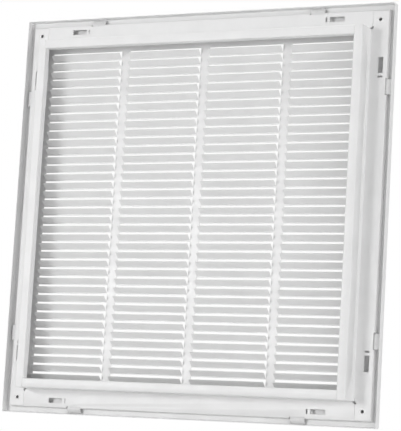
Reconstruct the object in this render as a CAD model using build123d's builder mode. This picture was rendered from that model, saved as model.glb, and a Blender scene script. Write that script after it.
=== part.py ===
from build123d import *
from math import cos, radians, sin, tan
import os

os.makedirs("parts", exist_ok=True)

# Return-air filter grille: a folded sheet-steel frame that is screwed round a duct opening, and a louvred
# door that is pushed over it, up to its spring clips. X is across, +Y is towards the duct, +Z is up.
# Y = 0 is the rear face of the frame's flange, and the origin is the centre of its screw pattern.

# Overall sizes, in millimetres
door_size = 574.7          # outside of the square door, 22 5/8 in
duct_opening = 508.0       # square opening that the collar goes into, 20 in
collar_clearance = 1.7     # collar to opening, each side
collar_depth = 31.1        # flange to the rear face of the ledge
ledge_width = 12.9         # collar's outside to the clear opening
return_depth = 10.5        # inner return, folded forward from the ledge
groove_width = 8.05        # frame's outer return to the door's wall
frame_sheet = 0.8
door_sheet = 0.8
stop_clearance = 0.3       # frame's outer return to the back of the door's sheet

# Bends of the frame's section, radius on the rear side
ledge_bend = 1.6
foot_bend = 1.2
edge_bend = 1.5

# Joints between the rails
seam_gap = 0.3
seam_offset = 2.4          # flange seam and corner relief, from the collar's outside
relief_diameter = 3.0
lap_root = 4.0             # lap tab's hold on its own rail

# Screw holes and clip stations
screw_hole_diameter = 4.8
station_inset = 85.3       # window's centre, from the door's edge
window_length = 22.0
window_width = 7.0
window_shift = 3.0         # window's centre, outwards from the flange's middle line
slit_length = 6.5
slit_width = 2.4
slit_gap = 5.0             # window's end to the slit's middle
notch_lip = 2.3            # notch for the clip's tongue, into the flange
notch_drop = 4.2           # the same notch, down the outer return

# Spring clips, spot-welded inside the collar
clip_sheet = 0.6
clip_fit = 0.05            # clip to rail
clip_leg = 16.0            # leg inside the collar, behind the flange
clip_base = 10.0           # base under the flange, from the collar's outside
clip_length = 58.0
clip_lead = 16.0           # clip's outer end, from the window's centre towards the corner
tongue_width = 21.0
tongue_gap = 8.5           # window's end to the tongue's side
tongue_angle = 43.0        # tongue's fall, towards the back of the door's sheet
tongue_side_clearance = 0.8
tongue_turn_gap = 0.4      # notch's inner edge to the tongue's bend
tongue_nose_clearance = 0.3

# Door
door_depth = 12.7          # front face to the rim, 1/2 in
door_rim_reach = 4.0       # door's rim past the flange's rear face, with the door pushed right on
door_bend = 2.4            # outside radius of the door's folds

# Louvres
column_count = 4
row_count = 38
column_pitch = 127.0
row_pitch = 12.6
louvre_width = 113.0
louvre_height = 11.4       # slot's height, and the blade's from its bend to its tip
louvre_end_gap = 0.3
blade_angle = 46.0         # blade, from the sheet
root_hold = 0.15           # blade's hold in the sheet, past its bend

# Places worked out from the sizes above
door_half = door_size / 2
collar_half = duct_opening / 2 - collar_clearance
collar_inside = collar_half - frame_sheet
opening_half = collar_half - ledge_width
edge_half = door_half - door_sheet - groove_width
bend_start = edge_half - edge_bend
flange_edge = bend_start - seam_gap
flange_middle = (collar_half + edge_half) / 2
flange_seam = collar_half + seam_offset
ledge_seam = opening_half + ledge_bend
window_line = flange_middle + window_shift
station = door_half - station_inset
window_end = station - window_length / 2
tongue_middle = window_end - tongue_gap - tongue_width / 2
door_front = door_rim_reach - door_depth
outer_return = -(door_front + door_sheet) - stop_clearance
root_length = root_hold + door_sheet * tan(radians(blade_angle / 2))
reach = door_half + collar_depth


def frame_section(plane):
    """Folded section of a rail, from the inner return to the outer one."""
    with BuildSketch(plane) as section:
        with BuildLine():
            path = FilletPolyline(
                (opening_half, collar_depth - return_depth),
                (opening_half, collar_depth),
                (collar_half, collar_depth),
                (collar_half, 0),
                (edge_half, 0),
                (edge_half, -outer_return),
                radius=[ledge_bend, ledge_bend, foot_bend, edge_bend],
            )
            offset(path, amount=frame_sheet, side=Side.RIGHT)
        make_face()
    return section.sketch


def plan_rectangle(x0, x1, z0, z1):
    """Rectangle in the plan of the frame, between two corners."""
    with Locations(((x0 + x1) / 2, (z0 + z1) / 2)):
        Rectangle(abs(x1 - x0), abs(z1 - z0))


def depth_plane(y):
    """Plan plane at a depth: its sketch lies along X and Z, and it faces the front."""
    return Plane.XZ.offset(-y)


# Screw holes, corner reliefs, windows and slits of all four rails
with BuildSketch(depth_plane(reach)) as flange_holes:
    with GridLocations(2 * flange_middle, 2 * flange_middle, 2, 2):
        Circle(screw_hole_diameter / 2)
    with GridLocations(2 * flange_seam, 2 * flange_seam, 2, 2):
        Circle(relief_diameter / 2)
    for middle, length, width in (
        (station, window_length, window_width),
        (window_end - slit_gap, slit_width, slit_length),
    ):
        with GridLocations(2 * middle, 2 * window_line, 2, 2):
            Rectangle(length, width)
        with GridLocations(2 * window_line, 2 * middle, 2, 2):
            Rectangle(width, length)

# Notches for the clips' tongues, through the flange's edge and into the outer return
with BuildSketch(depth_plane(0)) as notches:
    notch_length = tongue_width + 2 * tongue_side_clearance
    notch_edge = edge_half - notch_lip
    with GridLocations(2 * tongue_middle, 2 * edge_half, 2, 2):
        Rectangle(notch_length, 2 * notch_lip)
    with GridLocations(2 * edge_half, 2 * tongue_middle, 2, 2):
        Rectangle(2 * notch_lip, notch_length)


# Right-hand rail: it runs the full height and carries the corner squares
with BuildPart() as rail_right:
    extrude(frame_section(Plane.XY.offset(-edge_half)), amount=2 * edge_half)
    with BuildSketch(depth_plane(reach)):
        for end in (-1, 1):
            plan_rectangle(0, ledge_seam, end * opening_half, end * reach)
            plan_rectangle(0, flange_seam, end * collar_half, end * reach)
            with BuildLine():
                Polyline(
                    (0, end * flange_edge),
                    (flange_edge, end * flange_edge),
                    (reach, end * reach),
                    (0, end * reach),
                    close=True,
                )
            make_face()
    extrude(amount=2 * reach, mode=Mode.SUBTRACT)
    extrude(flange_holes.sketch, amount=2 * reach, mode=Mode.SUBTRACT)
    extrude(notches.sketch, amount=notch_drop, mode=Mode.SUBTRACT)
rail_right.part.label = "rail_right"
export_step(rail_right.part, "parts/rail_right.step")

with BuildPart() as rail_left:
    mirror(rail_right.part, about=Plane.YZ)
rail_left.part.label = "rail_left"
export_step(rail_left.part, "parts/rail_left.step")

# Top rail: it butts between the side rails, and its lap tabs lie in front of their corner squares
with BuildPart() as rail_top:
    rail_end = Plane(origin=(edge_half, 0, 0), x_dir=(0, 0, 1), z_dir=(-1, 0, 0))
    extrude(frame_section(rail_end), amount=2 * edge_half)
    with BuildSketch(depth_plane(reach)):
        for end in (-1, 1):
            plan_rectangle(end * (ledge_seam - seam_gap), end * reach, 0, collar_inside)
            plan_rectangle(end * (collar_inside - seam_gap), end * reach, 0, flange_seam - seam_gap)
            plan_rectangle(end * (flange_seam - seam_gap), end * reach, 0, bend_start)
            with BuildLine():
                Polyline(
                    (end * (bend_start - seam_gap), bend_start),
                    (end * (reach - seam_gap), reach),
                    (end * reach, bend_start),
                    close=True,
                )
            make_face()
    extrude(amount=2 * reach, mode=Mode.SUBTRACT)
    with BuildSketch(depth_plane(reach)):
        for end in (-1, 1):
            plan_rectangle(end * (ledge_seam - seam_gap), end * collar_half, 0, collar_half)
    extrude(amount=reach - collar_depth + frame_sheet + seam_gap, mode=Mode.SUBTRACT)
    with BuildSketch(depth_plane(-frame_sheet)):
        for end in (-1, 1):
            tab_outer = edge_half - frame_sheet / 2
            plan_rectangle(end * (flange_seam - lap_root), end * flange_edge, flange_seam, tab_outer)
    extrude(amount=frame_sheet)
    extrude(flange_holes.sketch, amount=2 * reach, mode=Mode.SUBTRACT)
    extrude(notches.sketch, amount=notch_drop, mode=Mode.SUBTRACT)
rail_top.part.label = "rail_top"
export_step(rail_top.part, "parts/rail_top.step")

with BuildPart() as rail_bottom:
    mirror(rail_top.part, about=Plane.XY)
rail_bottom.part.label = "rail_bottom"
export_step(rail_bottom.part, "parts/rail_bottom.step")

# Spring clip: a leg welded inside the collar, a base under the flange, and a tongue that comes out
# through the notch and slopes down into the groove, to just behind the door's sheet
clip_offset = frame_sheet + clip_fit
clip_low = station + clip_lead - clip_length
tongue_slope = tan(radians(tongue_angle))
tongue_turn = notch_edge + tongue_turn_gap
nose_level = door_front + door_sheet + tongue_nose_clearance + clip_sheet * cos(radians(tongue_angle))
nose = tongue_turn - (clip_offset + nose_level) / tongue_slope

with BuildPart() as clip:
    with BuildSketch(Plane.XY.offset(clip_low)):
        with BuildLine():
            angle = FilletPolyline(
                (collar_half - clip_offset, clip_leg),
                (collar_half - clip_offset, -clip_offset),
                (collar_half + clip_base, -clip_offset),
                radius=foot_bend + clip_offset,
            )
            offset(angle, amount=clip_sheet, side=Side.RIGHT)
        make_face()
    extrude(amount=clip_length)
    with BuildSketch(Plane.XY.offset(tongue_middle - tongue_width / 2)):
        with BuildLine():
            tongue = FilletPolyline(
                (collar_half + clip_base / 2, -clip_offset),
                (tongue_turn, -clip_offset),
                (nose, nose_level),
                radius=edge_bend,
            )
            offset(tongue, amount=clip_sheet, side=Side.RIGHT)
        make_face()
    extrude(amount=tongue_width)

# The clip stands at eight places, two to a rail
swap_sides = Plane(origin=(0, 0, 0), z_dir=(1, 0, -1))
for across, x_name in ((1, "right"), (-1, "left")):
    for up, z_name in ((1, "upper"), (-1, "lower")):
        for rail in ("side", "level"):
            with BuildPart() as placed:
                add(clip.part)
                if rail == "level":
                    mirror(about=swap_sides, mode=Mode.REPLACE)
                if across < 0:
                    mirror(about=Plane.YZ, mode=Mode.REPLACE)
                if up < 0:
                    mirror(about=Plane.XY, mode=Mode.REPLACE)
            name = f"clip_{x_name}_{z_name}"
            if rail == "level":
                name = f"clip_{'top' if up > 0 else 'bottom'}_{x_name}"
            placed.part.label = name
            export_step(placed.part, f"parts/{name}.step")

# Door: one pan of sheet, with its louvres lanced and turned towards the frame
with BuildPart() as door_face:
    with BuildSketch(depth_plane(door_front)):
        Rectangle(door_size, door_size)
    extrude(amount=-door_depth)
    front_edges = door_face.faces().sort_by(Axis.Y)[0].edges()
    corner_edges = door_face.edges().filter_by(Axis.Y)
    fillet(front_edges + corner_edges, door_bend)
    offset(amount=-door_sheet, openings=door_face.faces().sort_by(Axis.Y)[-1])
    with BuildSketch(depth_plane(door_front)):
        with GridLocations(column_pitch, row_pitch, column_count, row_count):
            Rectangle(louvre_width + 2 * louvre_end_gap, louvre_height)
    extrude(amount=-door_sheet, mode=Mode.SUBTRACT)
    with BuildSketch(mode=Mode.PRIVATE) as blade:
        tip = (louvre_height * sin(radians(blade_angle)), louvre_height * cos(radians(blade_angle)))
        with BuildLine():
            front = Polyline((0, -root_length), (0, 0), tip)
            offset(front, amount=door_sheet, side=Side.RIGHT)
        make_face()
    lowest_root = -(row_count - 1) / 2 * row_pitch - louvre_height / 2
    for column in range(column_count):
        column_middle = (column - (column_count - 1) / 2) * column_pitch
        with BuildSketch(Plane.YZ.offset(column_middle - louvre_width / 2)):
            with Locations([(door_front, lowest_root + row * row_pitch) for row in range(row_count)]):
                add(blade.sketch)
        extrude(amount=louvre_width)
door_face.part.label = "door_face"
export_step(door_face.part, "parts/door_face.step")
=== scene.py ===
import math

import bmesh
import bpy
from mathutils import Matrix, Vector


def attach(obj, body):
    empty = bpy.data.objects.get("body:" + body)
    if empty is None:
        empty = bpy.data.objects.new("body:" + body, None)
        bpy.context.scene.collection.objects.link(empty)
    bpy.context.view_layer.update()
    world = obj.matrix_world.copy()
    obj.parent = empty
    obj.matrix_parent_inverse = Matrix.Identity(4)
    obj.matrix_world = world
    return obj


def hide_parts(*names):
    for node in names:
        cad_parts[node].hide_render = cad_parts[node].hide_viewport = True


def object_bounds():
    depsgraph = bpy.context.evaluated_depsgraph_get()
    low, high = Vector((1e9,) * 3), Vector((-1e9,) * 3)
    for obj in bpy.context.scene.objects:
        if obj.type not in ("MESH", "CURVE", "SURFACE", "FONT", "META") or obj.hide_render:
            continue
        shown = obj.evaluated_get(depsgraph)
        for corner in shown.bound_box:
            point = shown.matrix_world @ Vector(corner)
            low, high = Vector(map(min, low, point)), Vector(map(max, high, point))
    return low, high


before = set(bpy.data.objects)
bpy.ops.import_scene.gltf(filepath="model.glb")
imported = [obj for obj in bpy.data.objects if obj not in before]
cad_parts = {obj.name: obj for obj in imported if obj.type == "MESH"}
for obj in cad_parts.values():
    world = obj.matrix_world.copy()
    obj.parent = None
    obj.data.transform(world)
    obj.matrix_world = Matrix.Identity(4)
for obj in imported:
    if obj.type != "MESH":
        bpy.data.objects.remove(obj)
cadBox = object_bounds()
print("frame loaded:", len(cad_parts), "nodes")

mm = 0.001
near = 0.02 * mm  # places closer than this are one place
softTurn = math.radians(35)  # smaller turns are shaded smooth

# Camera: behind the grille, on its left as seen from the room, a little below its middle
view = {
    "place": Vector((-1.19197, 2.41243, -0.34764)),
    "lookAt": Vector((-0.01113, 0.0, -0.00262)),
    "roll": math.radians(3.34),  # the photo leans a little
    "lens": 174.14,
    "sensor": 36.0,
    "farthest": 20,
}


def addCamera(name, setup):
    data = bpy.data.cameras.new(name)
    data.sensor_fit = "HORIZONTAL"
    data.sensor_width = setup["sensor"]
    data.lens = setup["lens"]
    data.clip_end = setup["farthest"]
    camera = bpy.data.objects.new(name, data)
    bpy.context.scene.collection.objects.link(camera)
    aim = (setup["lookAt"] - setup["place"]).to_track_quat("-Z", "Y").to_matrix().to_4x4()
    camera.matrix_world = Matrix.Translation(setup["place"]) @ aim @ Matrix.Rotation(setup["roll"], 4, "Z")
    bpy.context.scene.camera = camera


addCamera("photoCamera", view)
print("camera set")


# Studio: a pale floor well under the grille, a faint sky, and soft lamps on all sides. A lamp's place is its turn from
# the duct side towards +X and its height, in degrees, with its distance, its side and its power
studio = {
    "floorDrop": 0.30,  # the grille hangs as on a wall, so the floor is lower
    "floorSide": 30.0,
    "floorColour": (0.80, 0.80, 0.80),
    "floorRoughness": 0.9,
    "floorGlow": 0.86,
    "glowShare": 0.94,
    "skyColour": (1.0, 1.0, 1.0),
    "skyStrength": 0.12,
    "backdropStrength": 1.0,  # plain white
    "lamps": {
        "keyLamp": (27, 3, 3.2, 1.0, 34),
        "sideLamp": (-75, 0, 2.6, 1.6, 21),
        "foreLamp": (-50, 5, 2.8, 1.6, 9.5),
        "fillLamp": (60, 30, 2.6, 1.6, 5.5),
        "topLamp": (0, 80, 2.6, 2.0, 27),
        "roomLamp": (180, 55, 2.6, 1.6, 35),
    },
}


def mathNode(tree, operation, first, second):
    step = tree.nodes.new("ShaderNodeMath")
    step.operation = operation
    for socket, value in zip(step.inputs, (first, second)):
        if isinstance(value, (int, float)):
            socket.default_value = value
        else:
            tree.links.new(value, socket)
    return step.outputs[0]


def backdropRays(tree):  # 1 for what is seen straight, in a gloss or through glass, else 0
    path = tree.nodes.new("ShaderNodeLightPath")
    seen = mathNode(tree, "MAXIMUM", path.outputs["Is Camera Ray"], path.outputs["Is Glossy Ray"])
    return mathNode(tree, "MAXIMUM", seen, path.outputs["Is Transmission Ray"])


def addSky(setup):
    world = bpy.data.worlds.new("studioSky")
    bpy.context.scene.world = world
    world.use_nodes = True
    tree = world.node_tree
    tree.nodes.clear()
    light = tree.nodes.new("ShaderNodeBackground")
    light.inputs["Color"].default_value = (*setup["skyColour"], 1)
    light.inputs["Strength"].default_value = setup["skyStrength"]
    white = tree.nodes.new("ShaderNodeBackground")
    white.inputs["Color"].default_value = (*setup["skyColour"], 1)
    white.inputs["Strength"].default_value = setup["backdropStrength"]
    mix = tree.nodes.new("ShaderNodeMixShader")
    tree.links.new(backdropRays(tree), mix.inputs[0])
    tree.links.new(light.outputs[0], mix.inputs[1])
    tree.links.new(white.outputs[0], mix.inputs[2])
    out = tree.nodes.new("ShaderNodeOutputWorld")
    tree.links.new(mix.outputs[0], out.inputs["Surface"])


def addLamp(name, turn, height, distance, side, power):
    data = bpy.data.lights.new(name, "AREA")
    data.shape = "SQUARE"
    data.size = side
    data.energy = power
    lamp = bpy.data.objects.new(name, data)
    bpy.context.scene.collection.objects.link(lamp)
    turn, height = math.radians(turn), math.radians(height)
    level = math.cos(height)
    place = distance * Vector((math.sin(turn) * level, math.cos(turn) * level, math.sin(height)))
    lamp.matrix_world = Matrix.Translation(place) @ (-place).to_track_quat("-Z", "Y").to_matrix().to_4x4()
    lamp.visible_camera = False


def floorFinish(setup):  # pale by itself as a backdrop, and it still takes shadows
    paint = bpy.data.materials.new("paleFloor")
    paint.use_nodes = True
    tree = paint.node_tree
    surface = tree.nodes["Principled BSDF"]
    surface.inputs["Base Color"].default_value = (*setup["floorColour"], 1)
    surface.inputs["Roughness"].default_value = setup["floorRoughness"]
    glow = tree.nodes.new("ShaderNodeEmission")
    glow.inputs["Strength"].default_value = setup["floorGlow"]
    mix = tree.nodes.new("ShaderNodeMixShader")
    tree.links.new(mathNode(tree, "MULTIPLY", backdropRays(tree), setup["glowShare"]), mix.inputs[0])
    tree.links.new(surface.outputs[0], mix.inputs[1])
    tree.links.new(glow.outputs[0], mix.inputs[2])
    tree.links.new(mix.outputs[0], tree.nodes["Material Output"].inputs["Surface"])
    return paint


addSky(studio)
for name, setup in studio["lamps"].items():
    addLamp(name, *setup)
bpy.ops.object.select_all(action="DESELECT")
floorLevel = cadBox[0][2] - studio["floorDrop"]
bpy.ops.mesh.primitive_plane_add(size=studio["floorSide"], location=(0, 0, floorLevel))
floor = bpy.context.object
floor.name = "studioFloor"
floor.data.materials.append(floorFinish(studio))
bpy.context.scene.view_settings.view_transform = "Standard"
print("studio set")


# White powder coats. Each is cloudy by a few percent, dries to a fine orange peel, and thins and dulls along the edges
coats = {
    "frame_coat": {
        "name": "frameCoat",
        "colour": 0.86,
        "roughness": 0.40,
        "cloudSize": 24,  # clouds across one metre
        "cloud": 0.025,
        "speckSize": 1500,
        "speck": 0.012,
        "glossPatch": 0.07,  # roughness changes by this much, patch by patch
        "peelSize": 420,
        "peelDepth": 0.05 * mm,
        "edgeWidth": 0.45 * mm,
        "edgeColour": 0.79,
        "edgeRoughness": 0.52,
    },
    "door_coat": {
        "name": "doorCoat",
        "colour": 0.86,
        "roughness": 0.36,
        "cloudSize": 18,
        "cloud": 0.02,
        "speckSize": 1500,
        "speck": 0.01,
        "glossPatch": 0.06,
        "peelSize": 500,
        "peelDepth": 0.04 * mm,
        "edgeWidth": 0.35 * mm,
        "edgeColour": 0.80,
        "edgeRoughness": 0.48,
    },
    "spring_steel": {
        "name": "clipCoat",
        "colour": 0.82,
        "roughness": 0.34,
        "cloudSize": 60,
        "cloud": 0.03,
        "speckSize": 2200,
        "speck": 0.02,
        "glossPatch": 0.08,
        "peelSize": 700,
        "peelDepth": 0.03 * mm,
        "edgeWidth": 0.3 * mm,
        "edgeColour": 0.66,  # the steel starts to show through
        "edgeRoughness": 0.40,
    },
}

# What the coats share
coatGrain = {
    "cloudDetail": 3,
    "speckDetail": 1,
    "patchDetail": 2,
    "peelDetail": 2,
    "patchesPerCloud": 2.5,
    "peelStrength": 0.6,
    "noiseLow": 0.3,  # a noise keeps mostly between these two
    "noiseHigh": 0.7,
    "edgeSamples": 4,
    "edgeStart": 0.99,  # cosines of the turn at which an edge starts, and is full
    "edgeFull": 0.80,
}


def noiseNode(tree, place, size, detail, low, high):  # a noise spread out to the range low to high
    grain = tree.nodes.new("ShaderNodeTexNoise")
    grain.inputs["Scale"].default_value = size
    grain.inputs["Detail"].default_value = detail
    spread = tree.nodes.new("ShaderNodeMapRange")
    spread.inputs["From Min"].default_value = coatGrain["noiseLow"]
    spread.inputs["From Max"].default_value = coatGrain["noiseHigh"]
    spread.inputs["To Min"].default_value = low
    spread.inputs["To Max"].default_value = high
    tree.links.new(place, grain.inputs["Vector"])
    tree.links.new(grain.outputs["Fac"], spread.inputs["Value"])
    return spread.outputs["Result"]


def edgeNode(tree, width):  # 0 on the flats, 1 where the surface turns within the width
    rounded = tree.nodes.new("ShaderNodeBevel")
    rounded.samples = coatGrain["edgeSamples"]
    rounded.inputs["Radius"].default_value = width
    plain = tree.nodes.new("ShaderNodeNewGeometry")
    turn = tree.nodes.new("ShaderNodeVectorMath")
    turn.operation = "DOT_PRODUCT"
    tree.links.new(rounded.outputs["Normal"], turn.inputs[0])
    tree.links.new(plain.outputs["Normal"], turn.inputs[1])
    spread = tree.nodes.new("ShaderNodeMapRange")
    spread.inputs["From Min"].default_value = coatGrain["edgeStart"]
    spread.inputs["From Max"].default_value = coatGrain["edgeFull"]
    tree.links.new(turn.outputs["Value"], spread.inputs["Value"])
    return spread.outputs["Result"]


def mixNode(tree, share, first, second):  # first + share * (second - first)
    change = mathNode(tree, "MULTIPLY", share, mathNode(tree, "SUBTRACT", second, first))
    return mathNode(tree, "ADD", first, change)


def powderCoat(coat):
    finish = bpy.data.materials.new(coat["name"])
    finish.use_nodes = True
    tree = finish.node_tree
    shader = tree.nodes["Principled BSDF"]
    place = tree.nodes.new("ShaderNodeTexCoord").outputs["Object"]
    edge = edgeNode(tree, coat["edgeWidth"])

    cloud, speck, patch = coat["cloud"], coat["speck"], coat["glossPatch"]
    clouds = noiseNode(tree, place, coat["cloudSize"], coatGrain["cloudDetail"], 1 - cloud, 1 + cloud)
    specks = noiseNode(tree, place, coat["speckSize"], coatGrain["speckDetail"], 1 - speck, 1 + speck)
    tone = mixNode(tree, edge, coat["colour"], coat["edgeColour"])
    tone = mathNode(tree, "MULTIPLY", mathNode(tree, "MULTIPLY", tone, clouds), specks)
    grey = tree.nodes.new("ShaderNodeCombineColor")
    for channel in ("Red", "Green", "Blue"):
        tree.links.new(tone, grey.inputs[channel])
    tree.links.new(grey.outputs["Color"], shader.inputs["Base Color"])

    patchSize = coatGrain["patchesPerCloud"] * coat["cloudSize"]
    smoothest, dullest = coat["roughness"] - patch, coat["roughness"] + patch
    patches = noiseNode(tree, place, patchSize, coatGrain["patchDetail"], smoothest, dullest)
    tree.links.new(mixNode(tree, edge, patches, coat["edgeRoughness"]), shader.inputs["Roughness"])

    bump = tree.nodes.new("ShaderNodeBump")
    bump.inputs["Distance"].default_value = coat["peelDepth"]
    bump.inputs["Strength"].default_value = coatGrain["peelStrength"]
    tree.links.new(noiseNode(tree, place, coat["peelSize"], coatGrain["peelDetail"], 0, 1), bump.inputs["Height"])
    tree.links.new(bump.outputs["Normal"], shader.inputs["Normal"])
    return finish


finishes = {name: powderCoat(setup) for name, setup in coats.items()}
print("coats mixed")


def dress(piece, finish):
    piece.data.materials.clear()
    piece.data.materials.append(finishes[finish])


# Mesh work shared by the pieces
def only(piece):  # nothing else selected
    bpy.ops.object.select_all(action="DESELECT")
    piece.select_set(True)
    bpy.context.view_layer.objects.active = piece


def startEdit(piece):
    only(piece)
    bpy.ops.object.mode_set(mode="EDIT")


def endEdit():
    bpy.ops.object.mode_set(mode="OBJECT")


def pick(piece, kind, test):  # select the corners, edges or faces whose corners all pass the test
    bpy.ops.mesh.select_mode(type=kind)
    bpy.ops.mesh.select_all(action="DESELECT")
    mesh = bmesh.from_edit_mesh(piece.data)
    for part in {"VERT": mesh.verts, "EDGE": mesh.edges, "FACE": mesh.faces}[kind]:
        corners = [part.co] if kind == "VERT" else [corner.co for corner in part.verts]
        if all(test(corner) for corner in corners):
            part.select_set(True)
    bmesh.update_edit_mesh(piece.data)


def pull(x, y, z):  # extrude the picked edges by this much
    bpy.ops.mesh.extrude_edges_move(TRANSFORM_OT_translate={"value": (x, y, z)})


def score(place, normal):  # a new line of edges all across the piece
    bpy.ops.mesh.select_all(action="SELECT")
    bpy.ops.mesh.bisect(plane_co=place, plane_no=normal)


def strip(name, turn, across, level, along):  # flat strip in X and Z at a depth, facing as turned
    bpy.ops.object.select_all(action="DESELECT")
    middle = (sum(across) / 2, level, sum(along) / 2)
    bpy.ops.mesh.primitive_plane_add(size=1, rotation=(math.radians(turn), 0, 0), location=middle)
    piece = bpy.context.object
    piece.name = name
    piece.scale = (across[1] - across[0], along[1] - along[0], 1)
    bpy.ops.object.transform_apply(location=True, rotation=True, scale=True)
    return piece


def apply(piece, kind, **settings):
    only(piece)
    step = piece.modifiers.new(kind.lower(), kind)
    for key, value in settings.items():
        setattr(step, key, value)
    bpy.ops.object.modifier_apply(modifier=step.name)


def thicken(piece, sheet):
    apply(piece, "SOLIDIFY", thickness=sheet, offset=-1, use_even_offset=True)


def smooth(piece):
    only(piece)
    bpy.ops.object.shade_smooth_by_angle(angle=softTurn)
    apply(piece, "WEIGHTED_NORMAL", keep_sharp=True)


def block(low, high):
    bpy.ops.object.select_all(action="DESELECT")
    low, high = Vector(low), Vector(high)
    bpy.ops.mesh.primitive_cube_add(size=1, location=(low + high) / 2)
    piece = bpy.context.object
    piece.scale = high - low
    bpy.ops.object.transform_apply(location=True, rotation=True, scale=True)
    return piece


def joined(pieces):
    bpy.ops.object.select_all(action="DESELECT")
    for piece in pieces:
        piece.select_set(True)
    bpy.context.view_layer.objects.active = pieces[0]
    bpy.ops.object.join()
    return bpy.context.object


def cutAway(piece, cutters):
    tool = joined(cutters)
    apply(piece, "BOOLEAN", operation="DIFFERENCE", solver="EXACT", use_self=True, object=tool)
    bpy.data.objects.remove(tool)


def copyAt(piece, name, placing):
    twin = piece.copy()
    twin.data = piece.data.copy()
    twin.name = name
    bpy.context.scene.collection.objects.link(twin)
    twin.data.transform(placing)
    if placing.determinant() < 0:
        startEdit(twin)
        bpy.ops.mesh.select_all(action="SELECT")
        bpy.ops.mesh.flip_normals()
        endEdit()
    return twin


# Door: one louvre cell, repeated into the louvred field, then the margins, folds and walls of the pan
door = {
    "half": 287.35 * mm,
    "front": -8.7 * mm,
    "rim": 4.0 * mm,
    "sheet": 0.8 * mm,
    "fold": 2.4 * mm,
    "foldSteps": 4,
    "columns": 4,
    "rows": 38,
    "columnPitch": 127.0 * mm,
    "rowPitch": 12.6 * mm,
    "slotHalf": 56.8 * mm,
    "bladeHalf": 56.5 * mm,
    "slotRise": 5.7 * mm,
    "rootRadius": 1.2 * mm,
    "rootSteps": 3,
    "bladeTurn": math.radians(48),
    "bladeRun": 10.5 * mm,
    "rimBevel": 0.2 * mm,
    "rimSteps": 2,
}


def louvreCell(d):
    wide, tall = d["columnPitch"] / 2, d["rowPitch"] / 2
    cell = strip("doorPan", 90, (-wide, wide), d["front"], (-tall, tall))
    startEdit(cell)
    for x in (-d["slotHalf"], -d["bladeHalf"], d["bladeHalf"], d["slotHalf"]):
        score((x, 0, 0), (1, 0, 0))
    for z in (-d["slotRise"], d["slotRise"]):
        score((0, 0, z), (0, 0, 1))
    pick(cell, "FACE", lambda at: abs(at.x) < d["slotHalf"] + near and abs(at.z) < d["slotRise"] + near)
    bpy.ops.mesh.delete(type="FACE")
    pick(cell, "EDGE", lambda at: abs(at.x) < d["bladeHalf"] + near and abs(at.z + d["slotRise"]) < near)
    axle = (0, d["front"] + d["rootRadius"], -d["slotRise"])
    bpy.ops.mesh.spin(steps=d["rootSteps"], angle=d["bladeTurn"], center=axle, axis=(1, 0, 0))
    pull(0, d["bladeRun"] * math.sin(d["bladeTurn"]), d["bladeRun"] * math.cos(d["bladeTurn"]))
    endEdit()
    return cell


def repeat(piece, count, step):
    apply(piece, "ARRAY", count=count, use_relative_offset=False, use_constant_offset=True,
          constant_offset_displace=step, use_merge_vertices=True, merge_threshold=near)
    startEdit(piece)
    bpy.ops.mesh.select_all(action="SELECT")
    bpy.ops.transform.translate(value=-Vector(step) * (count - 1) / 2)
    endEdit()


def foldPan(pan, d):
    flat, bottom = d["half"] - d["fold"], d["front"] + d["fold"]
    steps, quarter = d["foldSteps"], math.pi / 2
    fieldWide, fieldTall = d["columns"] * d["columnPitch"] / 2, d["rows"] * d["rowPitch"] / 2
    startEdit(pan)
    for side in (-1, 1):
        pick(pan, "EDGE", lambda at: at.x * side > fieldWide - near)
        pull(side * (flat - fieldWide), 0, 0)
    for side in (-1, 1):
        pick(pan, "EDGE", lambda at: at.z * side > fieldTall - near)
        pull(0, 0, side * (flat - fieldTall))
    for side in (-1, 1):
        pick(pan, "EDGE", lambda at: at.z * side > flat - near)
        bpy.ops.mesh.spin(steps=steps, angle=side * quarter, center=(0, bottom, side * flat), axis=(1, 0, 0))
        pull(0, d["rim"] - bottom, 0)
    for side in (-1, 1):
        pick(pan, "EDGE", lambda at: at.x * side > flat - near and abs(at.z) < flat + near and at.y < d["front"] + near)
        bpy.ops.mesh.spin(steps=steps, angle=-side * quarter, center=(side * flat, bottom, 0), axis=(0, 0, 1))
        pull(0, d["rim"] - bottom, 0)
    for side in (-1, 1):
        for end in (-1, 1):
            pick(pan, "EDGE", lambda at: at.x * side > flat - near and abs(at.z * end - flat) < near)
            hub = (side * flat, 0, end * flat)
            bpy.ops.mesh.spin(steps=steps, angle=side * end * quarter, center=hub, axis=(0, 1, 0))
    bpy.ops.mesh.select_all(action="SELECT")
    bpy.ops.mesh.remove_doubles(threshold=near)
    bpy.ops.mesh.normals_make_consistent(inside=False)
    endEdit()


pan = louvreCell(door)
repeat(pan, door["columns"], (door["columnPitch"], 0, 0))
repeat(pan, door["rows"], (0, 0, door["rowPitch"]))
foldPan(pan, door)
thicken(pan, door["sheet"])
startEdit(pan)
pick(pan, "EDGE", lambda at: at.y > door["rim"] - near)
bpy.ops.mesh.bevel(offset=door["rimBevel"], offset_type="OFFSET", segments=door["rimSteps"], affect="EDGES")
endEdit()
smooth(pan)
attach(pan, "door")
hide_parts("door_face")
dress(pan, "door_coat")
dress(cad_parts["door_face"], "door_coat")  # the hidden CAD node is coated as well
print("door:", len(pan.data.polygons), "faces")


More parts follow.
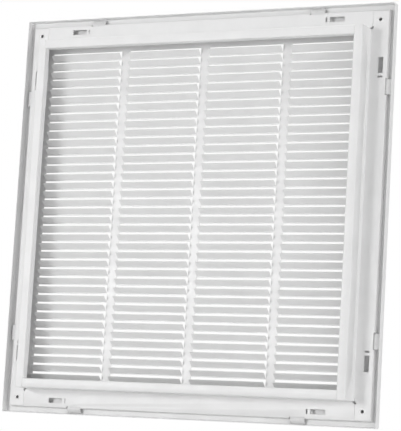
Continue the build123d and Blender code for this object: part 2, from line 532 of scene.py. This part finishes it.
# Frame: four folded rails. Each is made as the right-hand rail lies, across in X and along in Z
rail = {
    "opening": 239.4 * mm,
    "collar": 252.3 * mm,
    "edge": 278.5 * mm,
    "ledge": 31.1 * mm,
    "innerReturn": 10.5 * mm,
    "outerReturn": 7.6 * mm,
    "sheet": 0.8 * mm,
    "ledgeBend": 1.6 * mm,
    "footBend": 1.2 * mm,
    "edgeBend": 1.5 * mm,
    "bendSteps": 4,
    "sheetBevel": 0.12 * mm,
    "sharpTurn": math.radians(60),
    "flangeSeam": 254.7 * mm,
    "flangeEnd": 276.7 * mm,
    "seam": 0.3 * mm,
    "tabRoot": 4.0 * mm,
    "tabBite": 0.04 * mm,  # how far a tab runs into the flange
    "hole": 265.4 * mm,
    "holeRadius": 2.4 * mm,
    "reliefRadius": 1.5 * mm,
    "holeSides": 32,
    "window": (268.4 * mm, 202.05 * mm, 7.0 * mm, 22.0 * mm),  # across, along, width, length
    "slit": (268.4 * mm, 186.05 * mm, 6.5 * mm, 2.4 * mm),
    "notch": (276.2 * mm, 172.05 * mm, 22.6 * mm, 4.2 * mm),  # inner edge, along, length, drop
    "weldPlaces": (170 * mm, 213 * mm),
    "weldHeight": 9.0 * mm,
    "weldRadius": 1.6 * mm,
    "weldDepth": 0.45 * mm,
    "weldSides": 48,
    "windowReach": 10.0 * mm,  # the window cutters stop short of the ledge
    "inside": 215.46 * mm,  # the end cutters start here, clear of the rail
    "far": 300.0 * mm,  # and stop out here
    "deep": 40.0 * mm,
}


def foldedRail(name, r):
    piece = strip(name, -90, (r["collar"], r["edge"]), 0, (-r["edge"], r["edge"]))
    startEdit(piece)
    pick(piece, "EDGE", lambda at: abs(at.x - r["collar"]) < near)
    pull(0, r["ledge"], 0)
    pull(r["opening"] - r["collar"], 0, 0)
    pull(0, -r["innerReturn"], 0)
    pick(piece, "EDGE", lambda at: abs(at.x - r["edge"]) < near)
    pull(0, -r["outerReturn"], 0)
    for across, depth, radius in (
        (r["opening"], r["ledge"], r["ledgeBend"]),
        (r["collar"], r["ledge"], r["ledgeBend"]),
        (r["collar"], 0, r["footBend"]),
        (r["edge"], 0, r["edgeBend"]),
    ):
        pick(piece, "EDGE", lambda at: abs(at.x - across) < near and abs(at.y - depth) < near)
        bpy.ops.mesh.bevel(offset=radius, offset_type="OFFSET", segments=r["bendSteps"], affect="EDGES")
    endEdit()
    thicken(piece, r["sheet"])
    return piece


def plug(r, across, along, radius):
    bpy.ops.object.select_all(action="DESELECT")
    bpy.ops.mesh.primitive_cylinder_add(vertices=r["holeSides"], radius=radius, depth=2 * r["deep"],
                                        location=(across, 0, along), rotation=(math.pi / 2, 0, 0))
    bpy.ops.object.transform_apply(location=True, rotation=True, scale=True)
    return bpy.context.object


def mitreBlock(low, high, corner, shift):
    piece = block(low, high)
    startEdit(piece)
    pick(piece, "VERT", lambda at: abs(at.x - corner[0]) < near and abs(at.z - corner[1]) < near)
    bpy.ops.transform.translate(value=(shift[0], 0, shift[1]))
    endEdit()
    return piece


def weldBall(r, along):  # its shallow cap leaves the weld's dimple in the collar
    ball = (r["weldRadius"] ** 2 + r["weldDepth"] ** 2) / (2 * r["weldDepth"])
    middle = (r["collar"] + ball - r["weldDepth"], r["weldHeight"], along)
    bpy.ops.object.select_all(action="DESELECT")
    bpy.ops.mesh.primitive_uv_sphere_add(segments=r["weldSides"], ring_count=r["weldSides"] // 2, radius=ball,
                                         location=middle)
    bpy.ops.object.transform_apply(location=True, rotation=True, scale=True)
    return bpy.context.object


def railCutters(r):
    tools = []
    for end in (-1, 1):
        tools.append(plug(r, r["hole"], end * r["hole"], r["holeRadius"]))
        tools.append(plug(r, r["flangeSeam"], end * r["flangeSeam"], r["reliefRadius"]))
        for across, along, width, length in (r["window"], r["slit"]):
            low, high = end * along - length / 2, end * along + length / 2
            tools.append(block((across - width / 2, -r["deep"], low), (across + width / 2, r["windowReach"], high)))
        across, along, length, drop = r["notch"]
        low, high = end * along - length / 2, end * along + length / 2
        tools.append(block((across, -drop, low), (r["far"], drop, high)))
        for place in r["weldPlaces"]:
            tools.append(weldBall(r, end * place))
    return tools


def endBlock(r, across, along, end, low=None):  # from a place along the rail out past its end
    low = -r["deep"] if low is None else low
    reach = sorted((end * along, end * r["far"]))
    return block((across[0], low, reach[0]), (across[1], r["deep"], reach[1]))


def sideRail(name, r):
    piece = foldedRail(name, r)
    tools = railCutters(r)
    for end in (-1, 1):
        tools.append(endBlock(r, (r["inside"], r["opening"] + r["ledgeBend"]), r["opening"], end))
        tools.append(endBlock(r, (r["inside"], r["flangeSeam"]), r["collar"], end))
        low, high = sorted((end * r["flangeEnd"], end * r["far"]))
        tools.append(mitreBlock((r["inside"], -r["deep"], low), (r["far"], r["deep"], high),
                                (r["far"], end * r["flangeEnd"]), (r["flangeEnd"] - r["far"], 0)))
    cutAway(piece, tools)
    return piece


def levelRail(name, r):
    piece = foldedRail(name, r)
    tools = railCutters(r)
    ledgeEnd = r["opening"] + r["ledgeBend"] - r["seam"]
    wallEnd = r["collar"] - r["sheet"] - r["seam"]
    squareStart = r["flangeSeam"] - r["seam"]
    bendStart = r["flangeEnd"] + r["seam"]
    tabTop = -r["sheet"] - near
    tabs = []
    for end in (-1, 1):
        tools.append(endBlock(r, (r["inside"], r["collar"] - r["sheet"]), ledgeEnd, end))
        tools.append(endBlock(r, (r["inside"], squareStart), wallEnd, end, low=tabTop))
        tools.append(endBlock(r, (r["inside"], bendStart), squareStart, end, low=tabTop))
        tools.append(endBlock(r, (r["inside"], r["collar"]), ledgeEnd, end, low=r["ledge"] - r["sheet"] - r["seam"]))
        low, high = sorted((end * r["flangeEnd"], end * r["far"]))
        tools.append(mitreBlock((bendStart, -r["deep"], low), (r["far"], r["deep"], high),
                                (r["far"], end * r["flangeEnd"]), (0, end * (r["far"] - bendStart))))
        low, high = sorted((end * (r["flangeSeam"] - r["tabRoot"]), end * r["flangeEnd"]))
        tabs.append(block((r["flangeSeam"], -2 * r["sheet"], low),
                          (r["edge"] - r["sheet"] / 2, r["tabBite"] - r["sheet"], high)))
    tabPair = joined(tabs)
    apply(piece, "BOOLEAN", operation="UNION", solver="EXACT", use_self=True, object=tabPair)
    bpy.data.objects.remove(tabPair)
    cutAway(piece, tools)
    return piece


mirrorX = Matrix.Diagonal((-1, 1, 1, 1))
mirrorZ = Matrix.Diagonal((1, 1, -1, 1))
toTop = Matrix.Rotation(math.radians(-90), 4, "Y")  # across goes from X to Z
swapXZ = mirrorX @ toTop

firstSide = sideRail("sideRailRight", rail)
print("side rail:", len(firstSide.data.polygons), "faces")
firstLevel = levelRail("levelRailTop", rail)
print("level rail:", len(firstLevel.data.polygons), "faces")
for piece in (firstSide, firstLevel):
    apply(piece, "BEVEL", width=rail["sheetBevel"], segments=1, limit_method="ANGLE", angle_limit=rail["sharpTurn"])
    smooth(piece)
firstLevel.data.transform(toTop)
rails = {
    "rail_right": firstSide,
    "rail_left": copyAt(firstSide, "sideRailLeft", mirrorX),
    "rail_top": firstLevel,
    "rail_bottom": copyAt(firstLevel, "levelRailBottom", mirrorZ),
}
for node, piece in rails.items():
    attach(piece, "frame")
    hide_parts(node)
    dress(piece, "frame_coat")
    dress(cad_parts[node], "frame_coat")
print("rails on")


# Spring clips: made once as the upper right-hand one lies. The tongue steps down under the flange, comes out through
# the notch and arches down to the foot of the door's wall
clip = {
    "leg": 251.45 * mm,
    "level": -0.85 * mm,
    "base": 262.3 * mm,
    "legTop": 16.0 * mm,
    "low": 160.05 * mm,
    "high": 218.05 * mm,
    "tongue": (161.55 * mm, 182.55 * mm),
    "stepStart": 265.0 * mm,
    "stepEnd": 268.0 * mm,
    "stepLevel": -2.0 * mm,
    "archStart": 278.0 * mm,
    "archRadius": 8.6 * mm,
    "archTurn": math.radians(67),
    "archSteps": 7,
    "legBend": 2.05 * mm,
    "legSteps": 4,
    "stepBend": 1.0 * mm,
    "stepSteps": 3,
    "cornerRound": 1.2 * mm,
    "cornerSteps": 3,
    "sheet": 0.6 * mm,
}


def springClip(name, c):
    piece = strip(name, -90, (c["leg"], c["base"]), c["level"], (c["low"], c["high"]))
    startEdit(piece)
    for along in c["tongue"]:
        score((0, 0, along), (0, 0, 1))
    sideLow, sideHigh = c["tongue"]
    pick(piece, "EDGE", lambda at: abs(at.x - c["base"]) < near and sideLow - near < at.z < sideHigh + near)
    pull(c["stepStart"] - c["base"], 0, 0)
    pull(c["stepEnd"] - c["stepStart"], c["stepLevel"] - c["level"], 0)
    pull(c["archStart"] - c["stepEnd"], 0, 0)
    hub = (c["archStart"], c["stepLevel"] - c["archRadius"], 0)
    bpy.ops.mesh.spin(steps=c["archSteps"], angle=c["archTurn"], center=hub, axis=(0, 0, 1))
    tip = c["archStart"] + c["archRadius"] * math.sin(c["archTurn"])
    pick(piece, "VERT", lambda at: abs(at.x - tip) < near)
    bpy.ops.mesh.bevel(offset=c["cornerRound"], segments=c["cornerSteps"], affect="VERTICES")
    pick(piece, "EDGE", lambda at: abs(at.x - c["stepStart"]) < near or abs(at.x - c["stepEnd"]) < near)
    bpy.ops.mesh.bevel(offset=c["stepBend"], offset_type="OFFSET", segments=c["stepSteps"], affect="EDGES")
    pick(piece, "EDGE", lambda at: abs(at.x - c["leg"]) < near)
    pull(0, c["legTop"] - c["level"], 0)
    pick(piece, "EDGE", lambda at: abs(at.x - c["leg"]) < near and abs(at.y - c["level"]) < near)
    bpy.ops.mesh.bevel(offset=c["legBend"], offset_type="OFFSET", segments=c["legSteps"], affect="EDGES")
    endEdit()
    thicken(piece, c["sheet"])
    smooth(piece)
    return piece


firstClip = springClip("clipRightUpper", clip)
clipPlaces = {
    "clip_right_lower": ("clipRightLower", mirrorZ),
    "clip_left_upper": ("clipLeftUpper", mirrorX),
    "clip_left_lower": ("clipLeftLower", mirrorX @ mirrorZ),
    "clip_top_right": ("clipTopRight", swapXZ),
    "clip_top_left": ("clipTopLeft", mirrorX @ swapXZ),
    "clip_bottom_right": ("clipBottomRight", mirrorZ @ swapXZ),
    "clip_bottom_left": ("clipBottomLeft", mirrorX @ mirrorZ @ swapXZ),
}
clips = {"clip_right_upper": firstClip}
for node, (name, placing) in clipPlaces.items():
    clips[node] = copyAt(firstClip, name, placing)
for node, piece in clips.items():
    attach(piece, "frame")
    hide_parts(node)
    dress(piece, "spring_steel")
    dress(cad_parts[node], "spring_steel")
print("clips on")
